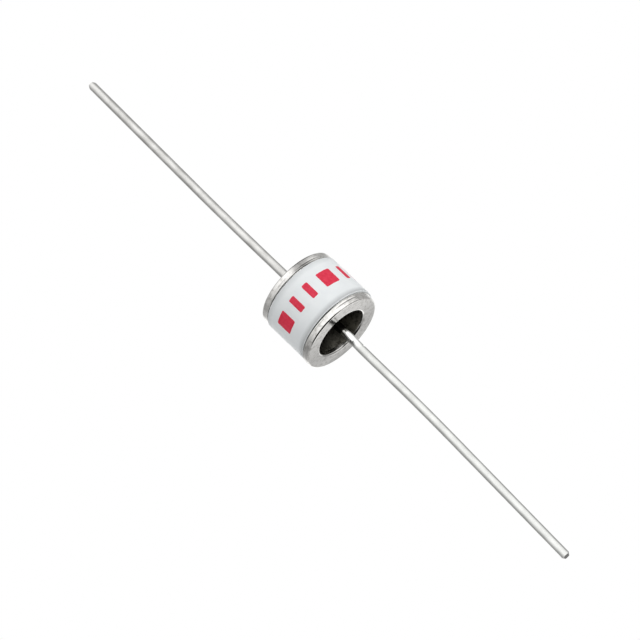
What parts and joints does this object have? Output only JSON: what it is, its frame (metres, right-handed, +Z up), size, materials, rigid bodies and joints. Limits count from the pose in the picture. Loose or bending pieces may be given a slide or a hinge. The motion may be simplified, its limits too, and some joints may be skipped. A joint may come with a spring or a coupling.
{
  "type": "gas discharge tube",
  "caption": "Axial gas discharge tube for surge protection: a white ceramic cylinder closed by metal cup electrodes, with a bright wire lead from each end.",
  "frame": {"origin": "centre of the tube, on its axis midway between the end faces", "axes": "+X along the tube's axis towards end A, +Z up"},
  "size_m": [0.063, 0.0081, 0.008],
  "materials": {
    "ceramic": "satin",
    "braze": "satin",
    "electrode_metal": "satin",
    "emitter": "matte",
    "graphite": "matte",
    "tinned_wire": "gloss"
  },
  "bodies": {
    "root": {"ceramic_tube": "ceramic", "braze_ring_a": "braze", "braze_ring_b": "braze", "electrode_a": "electrode_metal", "electrode_b": "electrode_metal", "emitter_coating_a": "emitter", "emitter_coating_b": "emitter", "ignition_strips": "graphite", "lead_a": "tinned_wire", "lead_b": "tinned_wire"}
  },
  "joints": []
}
